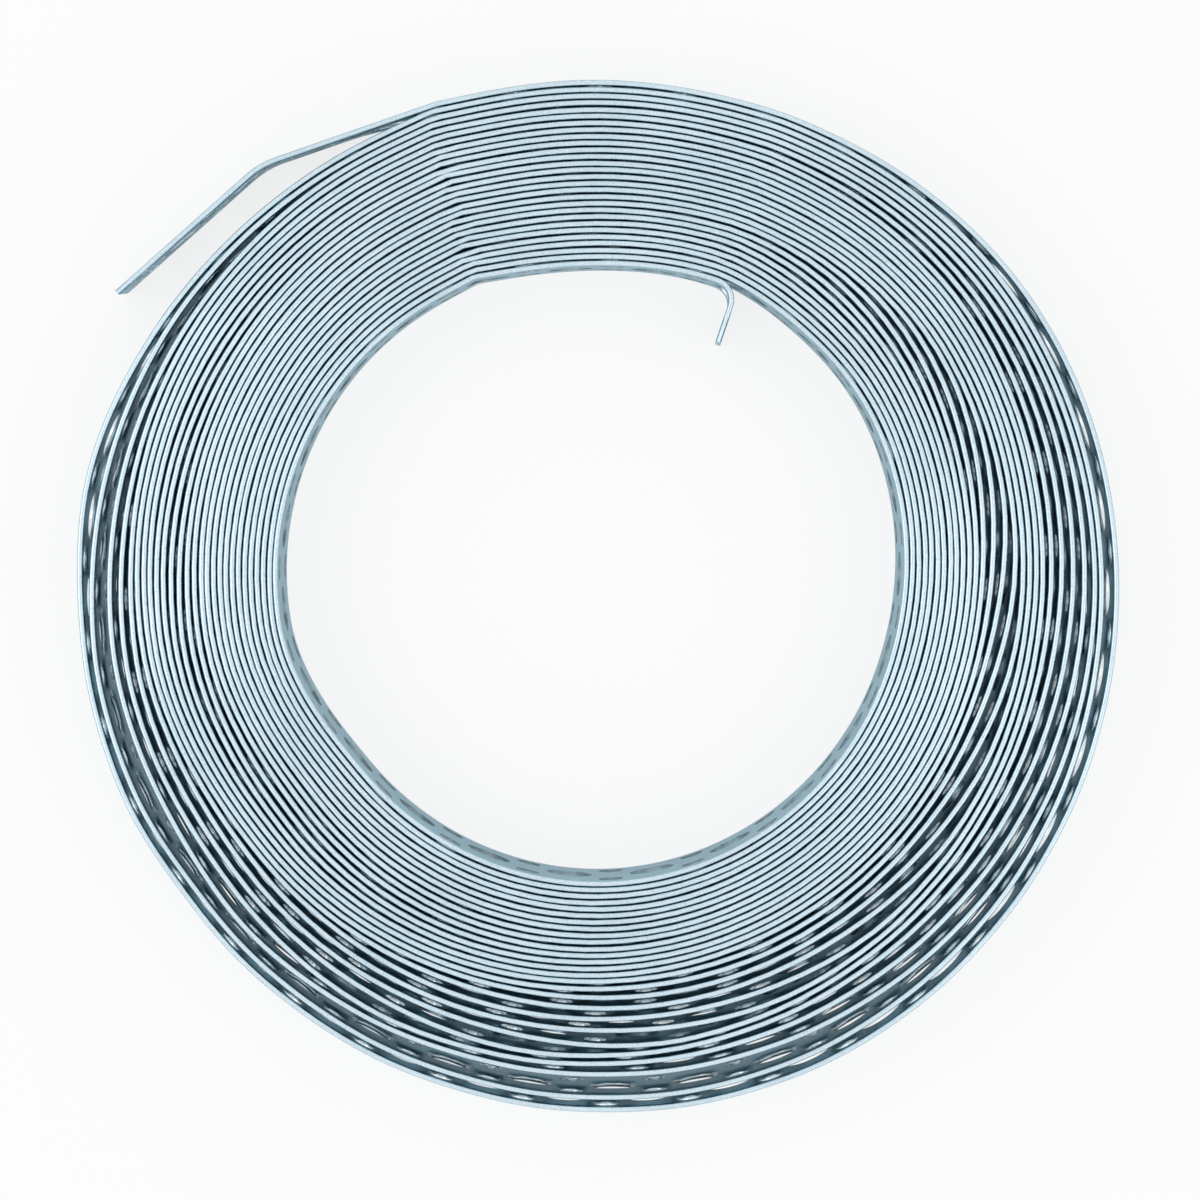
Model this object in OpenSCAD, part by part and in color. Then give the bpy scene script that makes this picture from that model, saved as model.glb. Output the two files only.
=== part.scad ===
// Perforated steel strap, wound into a loose coil that lies flat with both ends free

/* [Strap] */
// Width of the strap, which is also the height of the coil
strap_w = 17; // [16:0.5:30]
// Thickness of the steel
strap_t = 0.75; // [0.5:0.05:1.2]

/* [Holes] */
// Diameter of the large holes on the middle line
big_hole_d = 6.5; // [4:0.5:7]
// Diameter of the small holes in the two outer rows
small_hole_d = 3.5; // [2:0.5:4]
// Distance between the two rows of small holes
small_row_gap = 10.2; // [8:0.1:11]
// Distance from one large hole to the next along the strap
hole_pitch = 12; // [11.5:0.5:16]
// Distance from the outer tip to the middle of the first large hole
first_hole = 10.5; // [9.5:0.5:14]

/* [Coil] */
// Diameter of the open eye, taken across the tight and the loose side
eye_d = 87.5; // [60:0.5:140]
// Number of whole turns
turns = 27; // [6:1:36]
// Gap between neighbouring turns on the tight side, the back
gap_tight = 0.19; // [0.15:0.01:0.6]
// Gap between neighbouring turns on the loose side, the front
gap_loose = 0.46; // [0.15:0.01:1]

/* [Outer free end] */
// Angle past the back at which the strap leaves the coil
leave_a = 17.5; // [5:0.5:30]
// Straight run from the coil to the bend
lead_len = 24; // [10:0.5:40]
// Angle of the bend
bend_a = 24; // [5:1:40]
// Radius of the bend, at the middle of the steel
bend_r = 12; // [4:0.5:30]
// Straight run from the bend to the tip
tip_len = 24.5; // [14:0.5:40]

/* [Inner free end] */
// Angle short of the back at which the strap turns into the eye
start_a = 24; // [10:1:60]
// Angle of the hook
hook_a = 84; // [45:1:110]
// Radius of the hook, at the middle of the steel
hook_r = 1.9; // [1.2:0.1:5]
// Straight run from the hook to the tip
hook_len = 5.4; // [2:0.1:14]

/* [Hidden] */
$fn = 180;

// Turn of one flat on a bent stretch of a free end
facet_a = 2.5;
// Steel left between the inner tip and the nearest hole
tip_margin = 1;
// How far a punch starts in front of the steel where nothing lies there
punch_free = 2;

// Distance from one turn to the next, back and front
pitch_tight = strap_t + gap_tight;
pitch_loose = strap_t + gap_loose;
// Where the last turn crosses the back and the front
last_y = grid((eye_d + strap_t + turns * pitch_tight + (turns - 1) * pitch_loose) / 2);
// The two halves of the last turn differ, so this shift centres the outside of the coil
centre_x = -pitch_tight / 4;

// Crossings lie on a 0.002 mm grid, so that each half turn ends exactly where the next begins
function grid(v) = round(v * 500) / 500;
function back_y(k) = grid(last_y - (turns + 1 - k) * pitch_tight);
function front_y(k) = grid(last_y - (turns - k) * pitch_loose);

// Middle radius of turn k on its left half and on its right half
function left_r(k) = (back_y(k) + front_y(k)) / 2;
function right_r(k) = (front_y(k) + back_y(k + 1)) / 2;

function total(v, i = 0) = i < len(v) ? v[i] + total(v, i + 1) : 0;
function arc_len(r, a) = r * abs(a) * PI / 180;

// A path is a list of runs [length, turn to the left], and a pose is [x, y, heading]
function lengths(runs) = [for (run = runs) run[0]];
function path_len(runs) = total(lengths(runs));

function move(pose, run) =
    run[1] == 0
    ? [pose.x + run[0] * cos(pose.z), pose.y + run[0] * sin(pose.z), pose.z]
    : let (r = run[0] / run[1] * 180 / PI, end = pose.z + run[1])
        [pose.x + r * (sin(end) - sin(pose.z)), pose.y - r * (cos(end) - cos(pose.z)), end];

function part_of(run, s) = [s, run[1] * s / run[0]];

function pose_at(start, runs, s, i = 0) =
    i == len(runs) - 1 || s <= runs[i][0]
    ? move(start, part_of(runs[i], s))
    : pose_at(move(start, runs[i]), runs, s - runs[i][0], i + 1);

// Outer end, from the back of the coil out to its tip
outer_start = [0, back_y(turns + 1), 180];
outer_end = [
    [arc_len(left_r(turns + 1), leave_a), leave_a],
    [lead_len, 0],
    [arc_len(bend_r, bend_a), bend_a],
    [tip_len, 0]
];

// Inner end, from the back of the coil into the eye
inner_start = [0, back_y(1), 0];
inner_end = [
    [arc_len(right_r(0), start_a), -start_a],
    [arc_len(hook_r, hook_a), -hook_a],
    [hook_len, 0]
];

// The outermost turn with its end, and the innermost turn with its end
outer_path = concat([[PI * left_r(turns), 180], [PI * right_r(turns), 180]], outer_end);
inner_path = concat([[PI * right_r(1), -180], [PI * left_r(1), -180]], inner_end);
outer_from = [0, back_y(turns), 180];
inner_from = [0, back_y(2), 0];

// Whole length of the strap
wound_len = PI * total([for (k = [1:turns]) left_r(k) + right_r(k)]);
strap_len = wound_len + path_len(outer_end) + path_len(inner_end);
inner_at = strap_len - path_len(inner_path);

// Punch places, counted in half pitches from the first large hole
half_pitch = hole_pitch / 2;
outer_last = floor((path_len(outer_path) - first_hole) / half_pitch);
inner_first = ceil((inner_at - first_hole) / half_pitch);
inner_last = floor((strap_len - first_hole - big_hole_d / 2 - tip_margin) / half_pitch);

function place(j) = first_hole + j * half_pitch;
function is_big(j) = j % 2 == 0;

// How far a round wall falls away across a large hole
function hole_fall(r) = big_hole_d * big_hole_d / 8 / r;
// Beside another turn a punch ends in the gap, past the hollow or the bulging side of the wall
function past_hollow(r) = (gap_tight + hole_fall(r)) / 2;
function past_bulge(r) = (gap_tight - hole_fall(r)) / 2;

// Distances along a free end at which its outline has a corner
function flats(run) = max(1, ceil(abs(run[1]) / facet_a));
function before(runs, i) = i == 0 ? 0 : runs[i - 1][0] + before(runs, i - 1);
function corners(runs) = concat([0], [
    for (i = [0:len(runs) - 1], f = [1:flats(runs[i])])
        before(runs, i) + runs[i][0] * f / flats(runs[i])
]);

function side(start, runs, off) = [
    for (s = corners(runs))
        let (p = pose_at(start, runs, s))
            [p.x - off * sin(p.z), p.y + off * cos(p.z)]
];
function reversed(v) = [for (i = [len(v) - 1:-1:0]) v[i]];

// Half a turn between a crossing at the back and one at the front
module half_turn(back, front, turn_from) {
    r = (back + front) / 2;
    translate([0, (back - front) / 2, 0])
        rotate([0, 0, turn_from])
            rotate_extrude(angle = 180)
                translate([r - strap_t / 2, 0])
                    square([strap_t, strap_w]);
}

module turn(k) {
    half_turn(back_y(k), front_y(k), 90);
    half_turn(back_y(k + 1), front_y(k), -90);
}

module free_end(start, runs) {
    left = side(start, runs, strap_t / 2);
    right = side(start, runs, -strap_t / 2);
    linear_extrude(strap_w)
        polygon(concat(left, reversed(right)));
}

// A punch comes from the open side, on the right of the path
module punch(pose, d, z, front, back) {
    end = strap_t / 2 + back;
    translate([pose.x, pose.y, z])
        rotate([0, 0, pose.z])
            translate([0, end, 0])
                rotate([90, 0, 0])
                    cylinder(h = end + strap_t / 2 + front, d = d);
}

module punches(pose, big, front, back) {
    if (big) {
        punch(pose, big_hole_d, strap_w / 2, front, back);
    } else {
        for (row = [-1, 1])
            punch(pose, small_hole_d, strap_w / 2 + row * small_row_gap / 2, front, back);
    }
}

module wound_strap() {
    for (k = [1:turns])
        turn(k);
    free_end(outer_start, outer_end);
    free_end(inner_start, inner_end);
}

// Holes are cut where they show: in the outermost turn, the innermost turn and both ends
module shown_holes() {
    for (j = [-1:outer_last]) {
        s = path_len(outer_path) - place(j);
        under_end = s < path_len(outer_end);
        front = under_end ? past_bulge(last_y) : punch_free;
        punches(pose_at(outer_from, outer_path, s), is_big(j), front, past_hollow(last_y));
    }
    for (j = [inner_first:inner_last]) {
        s = place(j) - inner_at;
        under_end = s < path_len(inner_end);
        front = under_end ? past_hollow(eye_d / 2) : punch_free;
        punches(pose_at(inner_from, inner_path, s), is_big(j), front, past_bulge(eye_d / 2));
    }
}

module strap() {
    color([0.78, 0.82, 0.86])
        translate([centre_x, 0, 0])
            difference() {
                wound_strap();
                shown_holes();
            }
}

strap();
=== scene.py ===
import bmesh
import bpy
import math
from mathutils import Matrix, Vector


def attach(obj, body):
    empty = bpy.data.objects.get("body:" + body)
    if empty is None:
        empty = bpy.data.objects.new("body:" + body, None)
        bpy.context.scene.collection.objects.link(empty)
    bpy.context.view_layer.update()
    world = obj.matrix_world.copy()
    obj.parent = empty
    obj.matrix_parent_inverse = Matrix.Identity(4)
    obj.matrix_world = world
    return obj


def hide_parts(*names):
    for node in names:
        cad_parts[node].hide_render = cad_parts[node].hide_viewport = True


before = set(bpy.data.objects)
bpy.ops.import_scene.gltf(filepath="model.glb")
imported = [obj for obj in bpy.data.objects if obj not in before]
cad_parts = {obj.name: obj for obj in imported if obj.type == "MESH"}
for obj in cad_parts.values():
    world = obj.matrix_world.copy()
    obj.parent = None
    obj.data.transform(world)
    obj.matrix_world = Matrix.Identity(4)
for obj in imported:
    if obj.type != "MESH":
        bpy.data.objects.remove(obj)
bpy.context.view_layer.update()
mm = 0.001                                # the script thinks in millimetres, Blender in metres


# Small helpers for working as by hand

touching = 0.02 * mm                      # places closer than this count as one
weld = 0.01 * mm                          # points closer than this are merged


def dropSelection():
    if bpy.context.object and bpy.context.object.mode != "OBJECT":
        bpy.ops.object.mode_set(mode="OBJECT")
    bpy.ops.object.select_all(action="DESELECT")


def makeActive(thing):
    dropSelection()
    thing.select_set(True)
    bpy.context.view_layer.objects.active = thing


def pick(thing, part, test):              # part is "verts", "edges" or "faces" of the mesh in edit mode
    mesh = bmesh.from_edit_mesh(thing.data)
    chosen = [i for i, one in enumerate(getattr(mesh, part)) if test(one)]
    bpy.ops.mesh.select_mode(type=part[:-1].upper())
    bpy.ops.mesh.select_all(action="DESELECT")
    mesh = bmesh.from_edit_mesh(thing.data)
    elements = getattr(mesh, part)
    elements.ensure_lookup_table()
    for i in chosen:
        elements[i].select_set(True)
    mesh.select_flush_mode()
    bmesh.update_edit_mesh(thing.data)


def faceOutwards():                       # all faces of the mesh in edit mode
    bpy.ops.mesh.select_all(action="SELECT")
    bpy.ops.mesh.normals_make_consistent(inside=False)


def near(a, b):
    return abs(a - b) < touching


def ramp(x):
    return min(max(x, 0), 1)


def smooth(x):
    x = ramp(x)
    return x * x * (3 - 2 * x)


def bulge(x, middle, before, after):      # swells and fades at its own pace
    away = x - middle
    return math.exp(-(away / (before if away < 0 else after)) ** 2)


def bulges(x, *places):                   # each has a size, a middle, and a reach before and after it
    return sum(size * bulge(x, *place) for size, *place in places)


# Camera: straight above, a little to the back of the coil's middle

cameraSetup = {
    "place": (0.2, 22.5, 586),            # mm, above the floor
    "aim": (0.2, -0.5, 17),               # a point on the upper edges
    "lens": 121.4,
    "clipStart": 10,                      # mm
}


def makeCamera(setup):
    x, y, z = setup["place"]
    tilt = math.atan2(setup["aim"][1] - y, z - setup["aim"][2])
    bpy.ops.object.camera_add(location=(x * mm, y * mm, z * mm), rotation=(tilt, 0, 0))
    camera = bpy.context.object
    camera.name = "photoCamera"
    camera.data.lens = setup["lens"]
    camera.data.clip_start = setup["clipStart"] * mm
    bpy.context.scene.camera = camera


makeCamera(cameraSetup)
print("camera placed")


# The flat strap, in mm: a large hole in each pitch, and a pair of small ones half a pitch away

strap = {
    "width": 17,
    "thick": 0.75,
    "edgeRound": 0.25,                    # slit edges are a little rounded
    "rimRound": 0.11,                     # and so are the rims of the holes
    "pitch": 12,
    "largeDia": 6.5,
    "smallDia": 3.5,
    "rowGap": 10.2,
    "tipToLarge": 10.5,                   # from the outer tip to the first large hole
    "largeHalf": 3.6,                     # half the length of strap that belongs to a large hole
    "outerTipFaces": 4,                   # along the plain strap at each tip
    "innerTipFaces": 12,
    "sharpDeg": 50,                       # corners sharper than this stay sharp in the shading
}

details = {                               # faces beside a large hole, beside a small one, across the strap
    "ends": (12, 9, 10),
    "open": (4, 3, 10),
    "buried": (2, 2, 4),
}

stretches = [                             # name, pitches, how finely it is made
    ("strapOuterEnd", 8, "ends"),
    ("strapOuterTurns", 112, "open"),
    ("strapBuriedOuter", 320, "buried"),
    ("strapBuriedInner", None, "buried"), # takes what is left
    ("strapInnerTurns", 48, "open"),
    ("strapInnerEnd", 4, "ends"),
]
softRims = ("strapOuterEnd", "strapOuterTurns")          # elsewhere the rims of the holes are left sharp


# The line that the strap follows, in mm, with angles in degrees from +X and 90 at the back

coil = {
    "middle": (-0.235, 2.97),             # all turns are measured from here
    "startDeg": 67.75,                    # where the inner end turns into the eye
    "leaveDeg": 27 * 360 + 108.75,        # where the outer end leaves the last turn
    "countFrom": 105,                     # a new turn is counted from here, at the back left
    "stepDeg": 1,
    "eyeRadius": 43.2,
    "backRise": 2.1,                      # the eye is wider at the back
    "backUntil": 220,
    "backOver": 32,
    "eyeShape": (                         # how far outwards, where, and its reach before and after
        (0.4, 270, 35, 35),               # drawn out at the front
        (-1.5, 92, 24, 24),               # dented at its top
        (-0.4, 411, 13, 13),              # flatter beside the hook
    ),
    "riseFrom": 340,                      # from here the first turn climbs onto its own start
    "fold": 0.75,                         # every turn has a fold at the back left
    "foldDeg": (112.4, 109.5),            # on the innermost and the outermost turn
    "foldSpan": 5,
    "lift": 0.03,                         # turns don't lie quite level
    "liftWaves": (0.0047, 0.031, 1),      # a slow wave, and a quick one with its start
}

gaps = {                                  # open space between a turn and the one inside it
    "rest": 0.14,                         # turns that lie against each other
    "unrest": 0.033,                      # and never quite evenly
    "waves": ((2.53, 0), (4.37, 1), (7.71, 2)),          # how quick they come, and where they start
    "everyTurn": (                        # how wide, where, and its reach before and after
        (0.026, 227, 20, 25),
        (-0.018, 189, 22, 21),
        (0.018, 270, 40, 40),
        (0.06, 100, 30, 25),              # the back, seen from both ends of a turn
        (0.06, 460, 25, 30),
        (-0.028, 107, 14, 14),            # and the fold
        (-0.028, 467, 14, 14),
    ),
    "hookTurns": (3.5, 3, 3),             # turns that are slack beside the hook
    "hookSlack": (0.055, 411, 16, 16),
    "wideFrom": 112,                      # the back stays tight, wide gaps lie between these
    "wideTo": 452,
    "wideOver": 40,
    "gaping": 25,                         # this gap and the outermost one gape the most
    "gapingRoom": ((1.67, 205, 80, 12.5), (2.4, 274, 54, 51)),
    "outermostRoom": ((1.1, 169, 14, 13), (1.17, 369, 177, 37)),
    "slackAt": (224, 18.6, 0.44),         # inside them a slack place creeps round from turn to turn
    "slackRoom": (                        # first turn, turns to its full width, power, room past the place
        (3.5, 13, 1.1, (0.92, 0, 17.5, 11.5)),
        (18.8, 5, 1, (1.29, 85, 41, 51)),
        (12.6, 6, 1, (0.66, -51, 20, 55)),
    ),
    "halfwayTurns": (14.6, 5.8, 5.8),     # these have one more wide place
    "halfwayRoom": (0.29, -169, 20, 35),
}

outerEnd = {
    "bendAt": (-45.2, 61.25),             # on its upper edge
    "bendRadius": 12,
    "tipHeading": 221.5,
    "tipLength": 24.5,
    "leanDeg": 3.4,                       # its upper edge leans over towards the coil
    "leanAfter": 14,                      # mm from the coil to its full lean
}

innerEnd = {
    "hookRadius": 2.8,
    "hookTurn": 91,
    "hookStep": 0.2,                      # mm between points on the hook
    "tipLength": 5.3,
    "leanDeg": 1.4,
    "leanAfter": 5,
}


def innermostRadius(deg):
    c = coil
    rise = c["backRise"] * smooth((c["backUntil"] - deg) / c["backOver"])
    return c["eyeRadius"] + rise + bulges(deg, *c["eyeShape"])


def gapBeside(turn, deg):
    g = gaps
    way = math.radians(deg + 360 * turn)
    unrest = sum(math.sin(quick * way + start) for quick, start in g["waves"])
    gap = g["rest"] + g["unrest"] * unrest + bulges(deg, *g["everyTurn"])
    gap += bulge(turn, *g["hookTurns"]) * bulges(deg, g["hookSlack"])
    free = smooth((deg - g["wideFrom"]) / g["wideOver"]) * smooth((g["wideTo"] - deg) / g["wideOver"])
    if turn >= g["gaping"]:
        room = g["gapingRoom"] if turn == g["gaping"] else g["outermostRoom"]
        return gap + free * bulges(deg, *room)
    inward = g["gaping"] - 1 - turn
    place, step, slower = g["slackAt"]
    past = deg - (place + step * inward - slower * inward * inward)
    wide = bulge(turn, *g["halfwayTurns"]) * bulges(past, g["halfwayRoom"])
    for first, over, power, room in g["slackRoom"]:
        wide += ramp((turn - first) / over) ** power * bulges(past, room)
    return gap + free * wide


def turnAndAngle(deg):
    turn = math.floor((deg - coil["countFrom"]) / 360)
    return turn, deg - 360 * turn


def spiralRadii():                        # each turn lies on the one inside it
    c = coil
    perTurn = round(360 / c["stepDeg"])
    count = round((c["leaveDeg"] - c["startDeg"]) / c["stepDeg"])
    first = c["startDeg"]
    close = innermostRadius(first) + strap["thick"] + gapBeside(*turnAndAngle(first + 360))
    rise = close - innermostRadius(first + 360)
    climb = first + 360 - c["riseFrom"]
    radii = []
    for i in range(count + 1):
        deg = first + i * c["stepDeg"]
        if i < perTurn:
            radii.append(innermostRadius(deg) + rise * smooth((deg - c["riseFrom"]) / climb))
        else:
            radii.append(radii[i - perTurn] + strap["thick"] + gapBeside(*turnAndAngle(deg)))
    return radii


def foldedOut(deg):                       # how far the fold stands out at this place
    c = coil
    inner, outer = c["foldDeg"]
    corner = inner + (outer - inner) * deg / c["leaveDeg"]
    away = abs((deg - corner + 180) % 360 - 180)
    return c["fold"] * math.exp(-away / c["foldSpan"])


def woundLine():                          # from the eye outwards
    c = coil
    points = []
    for i, radius in enumerate(spiralRadii()):
        deg = c["startDeg"] + i * c["stepDeg"]
        radius += foldedOut(deg)
        turn = math.radians(deg)
        points.append((c["middle"][0] + radius * math.cos(turn), c["middle"][1] + radius * math.sin(turn)))
    return points


def headingOf(a, b):
    return math.degrees(math.atan2(b[1] - a[1], b[0] - a[0]))


def walk(points, heading, length, turn=0, step=0.4):     # goes on from the last point, turning left
    count = max(2, round(length / step))
    x, y = points[-1]
    for i in range(count):
        middle = math.radians(heading + turn * (i + 0.5) / count)
        x += length / count * math.cos(middle)
        y += length / count * math.sin(middle)
        points.append((x, y))
    return heading + turn


def outerLine(root):                      # from the coil to the outer tip
    e = outerEnd
    points = [root]
    lead = headingOf(root, e["bendAt"])
    walk(points, lead, math.dist(root, e["bendAt"]))
    bend = e["tipHeading"] - lead % 360
    walk(points, lead, e["bendRadius"] * math.radians(bend), bend)
    walk(points, e["tipHeading"], e["tipLength"])
    return points


def innerLine(root, heading):             # from the coil to the inner tip
    e = innerEnd
    points = [root]
    hook = e["hookRadius"] * math.radians(e["hookTurn"])
    heading = walk(points, heading, hook, -e["hookTurn"], e["hookStep"])
    walk(points, heading, e["tipLength"])
    return points


def leanOf(end, place, root):             # grows along a free end
    return math.radians(end["leanDeg"]) * smooth(math.dist(place, root) / end["leanAfter"])


def strapLine():                          # from the outer tip to the inner tip
    wound = woundLine()
    outer = outerLine(wound[-1])
    inner = innerLine(wound[0], headingOf(wound[2], wound[0]))
    flat = outer[:0:-1] + wound[::-1] + inner[1:]
    slow, quick, start = coil["liftWaves"]
    line, leans = [], []
    for i, (x, y) in enumerate(flat):
        lean = 0
        if i < len(outer):
            lean = leanOf(outerEnd, (x, y), outer[0])
        elif i >= len(flat) - len(inner):
            lean = leanOf(innerEnd, (x, y), inner[0])
        ahead = math.radians(headingOf(flat[max(i - 1, 0)], flat[min(i + 1, len(flat) - 1)]))
        foot = strap["width"] * math.sin(lean)           # the lower edge stands out, the upper one stays
        lift = coil["lift"] * (1 + math.sin(slow * i) * math.cos(quick * i + start)) / 2
        line.append(Vector((x - foot * math.sin(ahead), y + foot * math.cos(ahead), lift)) * mm)
        leans.append(lean)
    return line, leans


def makeRoute(points, leans):
    data = bpy.data.curves.new("strapRoute", "CURVE")
    data.dimensions = "3D"
    data.twist_mode = "Z_UP"
    spline = data.splines.new("POLY")
    spline.points.add(len(points) - 1)
    for point, place, lean in zip(spline.points, points, leans):
        point.co = (*place, 1)
        point.tilt = lean
    route = bpy.data.objects.new("strapRoute", data)
    bpy.context.scene.collection.objects.link(route)
    return route


linePoints, lineLeans = strapLine()
lineLength = sum((b - a).length for a, b in zip(linePoints, linePoints[1:]))
route = makeRoute(linePoints, lineLeans)
print("strap line", len(linePoints), "points,", round(lineLength, 3), "m")


# Shader maths as expressions

class Wire:
    def __init__(self, tree, socket=None):
        self.tree = tree
        self.socket = socket

    def node(self, kind, settings=None, links=None, out=0):
        made = self.tree.nodes.new(kind)
        for key, value in (settings or {}).items():
            setattr(made, key, value)
        for key, value in (links or {}).items():
            if isinstance(value, Wire):
                self.tree.links.new(value.socket, made.inputs[key])
            else:
                made.inputs[key].default_value = value
        return Wire(self.tree, made.outputs[out] if made.outputs else None)

    def sum(self, operation, a, b):
        return self.node("ShaderNodeMath", {"operation": operation}, {0: a, 1: b})

    def mix(self, share, a, b):           # of two colours
        return self.node("ShaderNodeMix", {"data_type": "RGBA"}, {"Factor": share, 6: a, 7: b}, 2)

    def __add__(self, other):
        return self.sum("ADD", self, other)

    def __sub__(self, other):
        return self.sum("SUBTRACT", self, other)

    def __rsub__(self, other):
        return self.sum("SUBTRACT", other, self)

    def __mul__(self, other):
        return self.sum("MULTIPLY", self, other)

    __radd__ = __add__
    __rmul__ = __mul__


def newMaterial(name):
    material = bpy.data.materials.new(name)
    material.use_nodes = True
    material.node_tree.nodes.clear()
    return material, Wire(material.node_tree)


def makeNoise(wire, place, scale, detail):
    return wire.node("ShaderNodeTexNoise", None, {"Vector": place, "Scale": scale, "Detail": detail}, "Fac")


# Galvanised steel: a fine zinc grain, rolling marks along the strap, and a painted highlight on the crest
# of each slit edge

zinc = {
    "face": (0.52, 0.70, 0.79, 1),
    "dull": (0.33, 0.475, 0.53, 1),
    # painted highlight: the next two colours are the pale crest of each slit edge, standing in for the
    # light it catches
    "edge": (0.72, 0.84, 0.91, 1),
    "edgeHighlightDull": (0.53, 0.66, 0.74, 1),
    "grazing": (0.65, 0.77, 0.82, 1),     # what is left of light that skims along it
    "grainSize": 0.9,                     # mm
    "markSize": 0.25,                     # mm between rolling marks
    "markStretch": (0.06, 0.06, 1),       # they run along the strap
    "clouds": 90,                         # in a metre
    "specks": 3400,                       # in a metre
    "toneOf": {"grain": 0.35, "marks": 0.4, "cloud": 0.5, "speck": 0.2},
    "toneLess": 0.25,
    "edgeHighlightSpecks": 2.4,
    "edgeHighlightHeight": 0.11,                   # mm at the top and the bottom of the strap that carry the painted highlight
    "edgeHighlightOver": 0.01,                     # mm past the edge where the painted highlight would be full
    "roughness": 0.24,
    "rougher": {"grain": 0.08, "marks": 0.08, "edge": 0.04},         # the edge, where the highlight is painted, is less rough
    "reliefOf": {"marks": 0.6, "speck": 0.6, "grain": 0.2},
    "reliefShare": 0.07,
    "reliefDepth": 0.03,                  # mm
}

punched = {                               # the walls of the holes, burnished by the punch, and painted paler than the zinc so that they show as white glints
    "paintedGlint": (0.86, 0.91, 0.93, 1),
    "scored": (0.68, 0.75, 0.78, 1),
    "scoreSize": 0.3,                     # mm
    "metallic": 0.88,                     # torn steel scatters some light
    "roughness": 0.17,
    "rougher": 0.1,                       # where it is scored
}


def makeZinc():
    material, wire = newMaterial("galvanisedSteel")
    z = zinc
    place = wire.node("ShaderNodeTexCoord", out="Object")
    grain = wire.node("ShaderNodeTexVoronoi", {"feature": "F1"},
                      {"Vector": place, "Scale": 1 / (z["grainSize"] * mm)}, "Color")
    grain = wire.node("ShaderNodeSeparateColor", None, {"Color": grain}, "Red")
    flatter = wire.node("ShaderNodeMapping", None, {"Vector": place, "Scale": z["markStretch"]})
    marks = makeNoise(wire, flatter, 1 / (z["markSize"] * mm), 3)
    cloud = makeNoise(wire, place, z["clouds"], 4)
    speck = makeNoise(wire, place, z["specks"], 3)
    height = wire.node("ShaderNodeSeparateXYZ", None, {"Vector": place}, "Z")
    middle = strap["width"] / 2 * mm
    fromMiddle = wire.sum("ABSOLUTE", height - middle, 0)
    # painted highlight mask: the pale colour covers only the crest of each edge, so the rounded flanks keep
    # the darker face colour
    edge = wire.node("ShaderNodeMapRange", {"interpolation_type": "SMOOTHSTEP"},
                     {0: fromMiddle, 1: middle - z["edgeHighlightHeight"] * mm, 2: middle + z["edgeHighlightOver"] * mm})
    t = z["toneOf"]
    tone = grain * t["grain"] + marks * t["marks"] + cloud * t["cloud"] + speck * t["speck"]
    face = wire.mix(tone - z["toneLess"], z["dull"], z["face"])
    highlightColour = wire.mix((speck - 0.5) * z["edgeHighlightSpecks"] + cloud, z["edgeHighlightDull"], z["edge"])
    colour = wire.mix(edge, face, highlightColour)
    r = z["rougher"]
    rough = z["roughness"] + grain * r["grain"] + marks * r["marks"] - edge * r["edge"]
    h = z["reliefOf"]
    relief = marks * h["marks"] + speck * h["speck"] + grain * h["grain"]
    bump = wire.node("ShaderNodeBump", None,
                     {"Height": relief, "Strength": z["reliefShare"], "Distance": z["reliefDepth"] * mm})
    steel = wire.node("ShaderNodeBsdfPrincipled", None,
                      {"Base Color": colour, "Metallic": 1.0, "Roughness": rough, "Normal": bump,
                       "Specular Tint": z["grazing"]})
    wire.node("ShaderNodeOutputMaterial", None, {"Surface": steel})
    return material


def makePunched():
    material, wire = newMaterial("punchedSteelPaintedGlint")
    p = punched
    place = wire.node("ShaderNodeTexCoord", out="Object")
    scores = makeNoise(wire, place, 1 / (p["scoreSize"] * mm), 3)
    # painted glint: the walls of the holes take colours paler than the zinc, so that they light up
    steel = wire.node("ShaderNodeBsdfPrincipled", None,
                      {"Base Color": wire.mix(scores, p["scored"], p["paintedGlint"]), "Metallic": p["metallic"],
                       "Roughness": p["roughness"] + scores * p["rougher"]})
    wire.node("ShaderNodeOutputMaterial", None, {"Surface": steel})
    return material


finishes = [makeZinc(), makePunched()]
print("finishes made")


# One pitch is modelled flat, repeated along a stretch and wound on the line

def onRim(v, hole):
    return near(math.dist(v.co.xy, (hole[0] * mm, hole[1] * mm)), hole[2] / 2 * mm)


def holeBlock(thing, low, high, columns, rows, hole):    # hole is its place along, across, and its diameter
    length, width = high[0] - low[0], high[1] - low[1]
    middle = ((low[0] + high[0]) / 2 * mm, (low[1] + high[1]) / 2 * mm, 0)
    bpy.ops.mesh.primitive_grid_add(x_subdivisions=columns, y_subdivisions=rows, size=1, location=middle)
    bpy.ops.transform.resize(value=(length * mm, width * mm, 1), center_override=middle)

    def inside(v):
        return (v.select and not near(abs(v.co.x - middle[0]), length / 2 * mm)
                and not near(abs(v.co.y - middle[1]), width / 2 * mm))

    pick(thing, "verts", inside)
    bpy.ops.mesh.delete(type="VERT")      # leaves the block's border as loose edges
    bpy.ops.mesh.primitive_circle_add(vertices=2 * (columns + rows), radius=hole[2] / 2 * mm,
                                      location=(hole[0] * mm, hole[1] * mm, 0))
    pick(thing, "edges", lambda e: not e.link_faces)
    bpy.ops.mesh.bridge_edge_loops()


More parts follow.
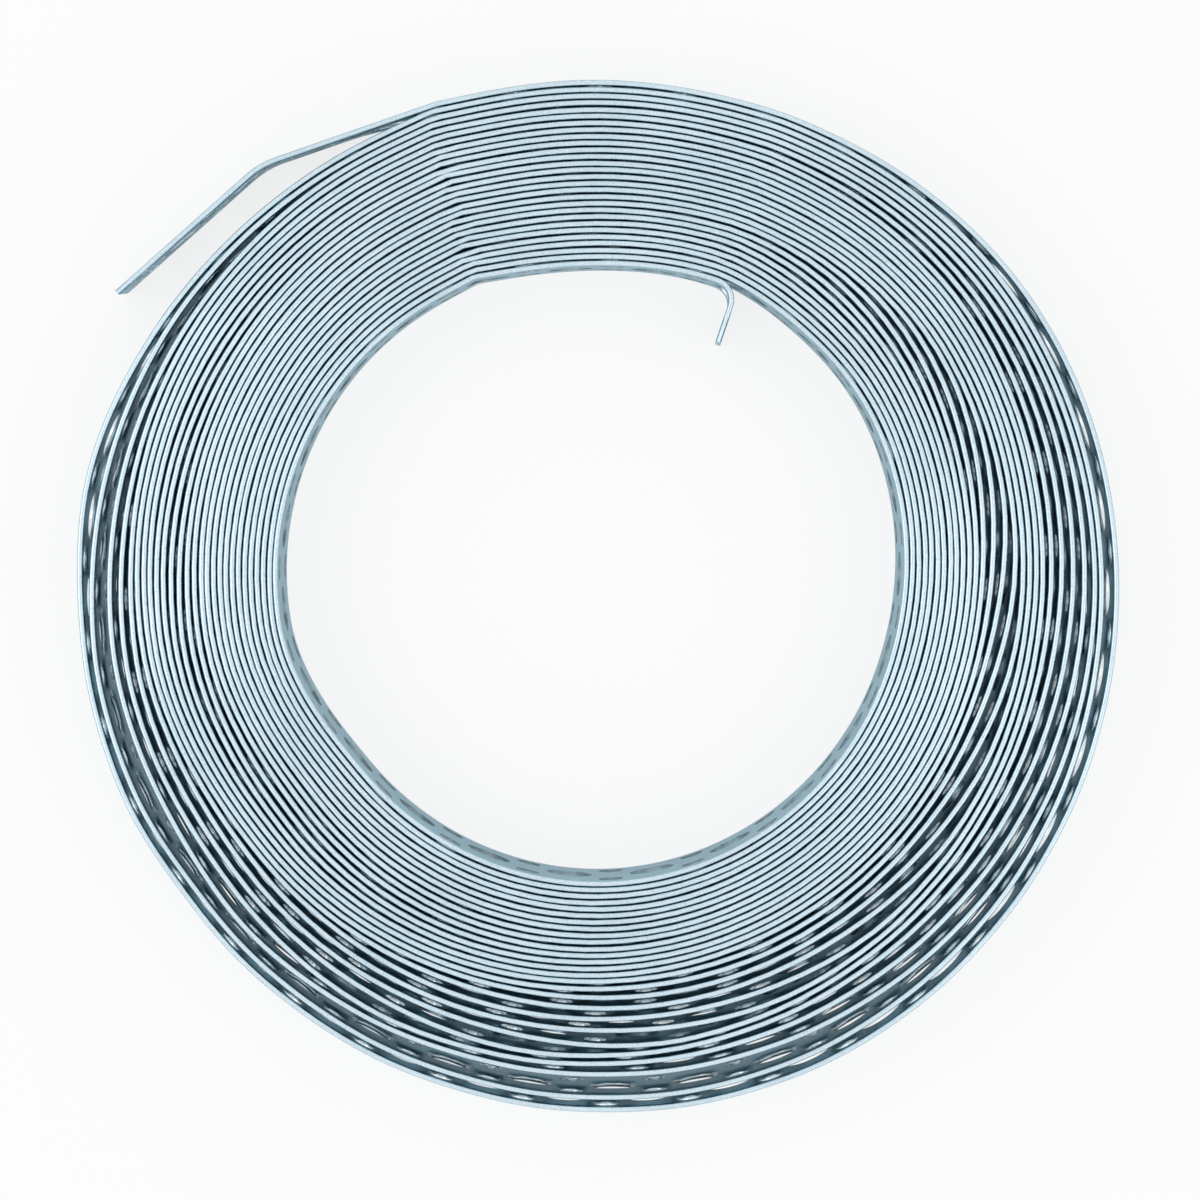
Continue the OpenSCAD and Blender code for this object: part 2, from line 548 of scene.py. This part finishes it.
def makeCell(name, detail):
    s = strap
    largeFaces, smallFaces, rows = details[detail]
    dropSelection()
    bpy.ops.mesh.primitive_plane_add(size=mm)
    cell = bpy.context.object
    cell.name = name
    for finish in finishes:
        cell.data.materials.append(finish)
    bpy.ops.object.mode_set(mode="EDIT")
    bpy.ops.mesh.select_all(action="SELECT")
    bpy.ops.mesh.delete(type="VERT")
    half, side = s["largeHalf"], s["width"] / 2
    small, end = -s["pitch"] / 2, half - s["pitch"]
    holes = [(0, 0, s["largeDia"])]
    holeBlock(cell, (-half, -side), (half, side), largeFaces, rows, holes[0])
    for row in (-1, 1):
        low, high = sorted((0, row * side))
        holes.append((small, row * s["rowGap"] / 2, s["smallDia"]))
        holeBlock(cell, (end, low), (-half, high), smallFaces, rows // 2, holes[-1])
    bpy.ops.mesh.select_all(action="SELECT")
    bpy.ops.mesh.remove_doubles(threshold=weld)
    bpy.ops.mesh.extrude_region_move(TRANSFORM_OT_translate={"value": (0, 0, s["thick"] * mm)})
    ends = (end * mm, half * mm)          # the next pitch joins on here
    pick(cell, "faces", lambda f: any(all(near(v.co.x, x) for v in f.verts) for x in ends))
    bpy.ops.mesh.delete(type="FACE")
    pick(cell, "faces", lambda f: near(f.calc_center_median().z, s["thick"] / 2 * mm)
         and not any(near(abs(v.co.y), side * mm) for v in f.verts))
    cell.active_material_index = 1        # only the walls of the holes are picked now; they take the finish with the painted glint
    bpy.ops.object.material_slot_assign()
    if name in softRims:
        pick(cell, "edges", lambda e: near(e.verts[0].co.z, e.verts[1].co.z)
             and any(all(onRim(v, hole) for v in e.verts) for hole in holes))
        # the rounded rims of the holes take the finish with the painted glint too
        bpy.ops.mesh.bevel(offset=s["rimRound"] * mm, segments=1, affect="EDGES", material=1)
    pick(cell, "edges", lambda e: all(near(abs(v.co.y), side * mm) for v in e.verts)
         and near(e.verts[0].co.z, e.verts[1].co.z))
    bpy.ops.mesh.bevel(offset=s["edgeRound"] * mm, segments=2, affect="EDGES")
    faceOutwards()
    bpy.ops.object.mode_set(mode="OBJECT")
    return cell


def applyModifier(thing, kind, settings):
    modifier = thing.modifiers.new(kind.title(), kind)
    for key, value in settings.items():
        setattr(modifier, key, value)
    bpy.ops.object.modifier_apply(modifier=modifier.name)


def closeEnd(thing, x, reach, steps):     # runs the plain strap on to its tip, then caps it
    pick(thing, "edges", lambda e: e.is_boundary and all(near(v.co.x, x) for v in e.verts))
    for _ in range(steps if reach else 0):
        bpy.ops.mesh.extrude_region_move(TRANSFORM_OT_translate={"value": (reach / steps, 0, 0)})
    bpy.ops.mesh.edge_face_add()


def makeStretch(name, cells, detail, start, tipBefore, tipAfter):
    s = strap
    thing = makeCell(name, detail)
    makeActive(thing)
    applyModifier(thing, "ARRAY", {
        "count": cells, "use_relative_offset": False, "use_constant_offset": True,
        "constant_offset_displace": (s["pitch"] * mm, 0, 0),
        "use_merge_vertices": True, "merge_threshold": weld})
    bpy.ops.object.mode_set(mode="EDIT")
    bpy.ops.mesh.select_all(action="SELECT")
    first = (s["pitch"] - s["largeHalf"]) * mm           # brings the cell's own start to x = 0
    bpy.ops.transform.translate(value=(first + start, 0, -s["thick"] / 2 * mm))
    closeEnd(thing, start, -tipBefore, s["outerTipFaces"])
    closeEnd(thing, start + cells * s["pitch"] * mm, tipAfter, s["innerTipFaces"])
    faceOutwards()
    bpy.ops.transform.rotate(value=math.radians(90), orient_axis="X", center_override=(0, 0, 0))
    bpy.ops.transform.translate(value=(0, 0, s["width"] / 2 * mm))
    bpy.ops.object.mode_set(mode="OBJECT")
    applyModifier(thing, "CURVE", {"object": route, "deform_axis": "POS_X"})
    bpy.ops.object.mode_set(mode="EDIT")
    faceOutwards()
    bpy.ops.object.mode_set(mode="OBJECT")
    bpy.ops.object.shade_smooth_by_angle(angle=math.radians(s["sharpDeg"]))
    return thing


def makeStrap():
    s = strap
    tip = (s["tipToLarge"] - s["pitch"] + s["largeHalf"]) * mm       # plain strap before the first pitch
    fits = math.floor((lineLength - tip) / (s["pitch"] * mm))
    planned = sum(cells for _, cells, _ in stretches if cells)
    start, pieces = tip, []
    for i, (name, cells, detail) in enumerate(stretches):
        cells = cells or fits - planned
        after = start + cells * s["pitch"] * mm
        tipAfter = lineLength - after if i == len(stretches) - 1 else 0
        pieces.append(makeStretch(name, cells, detail, start, 0 if i else tip, tipAfter))
        start = after
        count = sum(len(p.vertices) - 2 for p in pieces[-1].data.polygons)
        print(name, cells, "pitches,", count, "triangles")
    return pieces


strapPieces = makeStrap()
bpy.data.objects.remove(route)

for piece in strapPieces:
    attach(piece, "root")
    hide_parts("strap")
print("strap finished in galvanised steel")


# Floor, world and lamps

studio = {
    "floorSize": 6,                       # m
    "floorColour": (0.95, 0.95, 0.95, 1),
    "floorGlow": 0.8,                     # share of plain white that the camera sees
    "glowInMetal": 0.4,                   # less in metal, so the floor of a narrow gap stays dark there
    "worldLight": 0.85,
    "white": (1, 1, 1, 1),
    "lamps": [                            # place and size in mm, power in watts
        ((-620, 0, 760), 500, 1.0),
        ((600, -300, 800), 600, 0.6),
    ],
}


def lookedAt(wire, inMetal=1):            # 1 for what the camera sees, also in metal and glass
    camera = wire.node("ShaderNodeLightPath", out="Is Camera Ray")
    glossy = wire.node("ShaderNodeLightPath", out="Is Glossy Ray") * inMetal
    clear = wire.node("ShaderNodeLightPath", out="Is Transmission Ray")
    return wire.sum("MAXIMUM", wire.sum("MAXIMUM", camera, glossy), clear)


def makeFloor():
    dropSelection()
    bpy.ops.mesh.primitive_plane_add(size=studio["floorSize"])
    floor = bpy.context.object
    floor.name = "floor"
    material, wire = newMaterial("paleFloor")
    matt = wire.node("ShaderNodeBsdfDiffuse", None, {"Color": studio["floorColour"]})
    glow = wire.node("ShaderNodeEmission", None, {"Color": studio["white"], "Strength": 1})
    share = lookedAt(wire, studio["glowInMetal"]) * studio["floorGlow"]
    both = wire.node("ShaderNodeMixShader", None, {0: share, 1: matt, 2: glow})
    wire.node("ShaderNodeOutputMaterial", None, {"Surface": both})
    floor.data.materials.append(material)


def makeWorld():
    world = bpy.data.worlds.new("studioWorld")
    bpy.context.scene.world = world
    world.use_nodes = True
    world.node_tree.nodes.clear()
    wire = Wire(world.node_tree)
    power = studio["worldLight"] + lookedAt(wire) * (1 - studio["worldLight"])
    sky = wire.node("ShaderNodeBackground", None, {"Color": studio["white"], "Strength": power})
    wire.node("ShaderNodeOutputWorld", None, {"Surface": sky})


def makeLamps():
    for i, (place, size, power) in enumerate(studio["lamps"]):
        spot = Vector(place) * mm
        turn = (-spot).to_track_quat("-Z", "Y").to_euler()
        bpy.ops.object.light_add(type="AREA", location=spot, rotation=turn)
        lamp = bpy.context.object
        lamp.name = f"softLamp{i + 1}"
        lamp.data.size = size * mm
        lamp.data.energy = power


makeFloor()
makeWorld()
makeLamps()
bpy.context.scene.view_settings.view_transform = "Standard"
print("studio set")
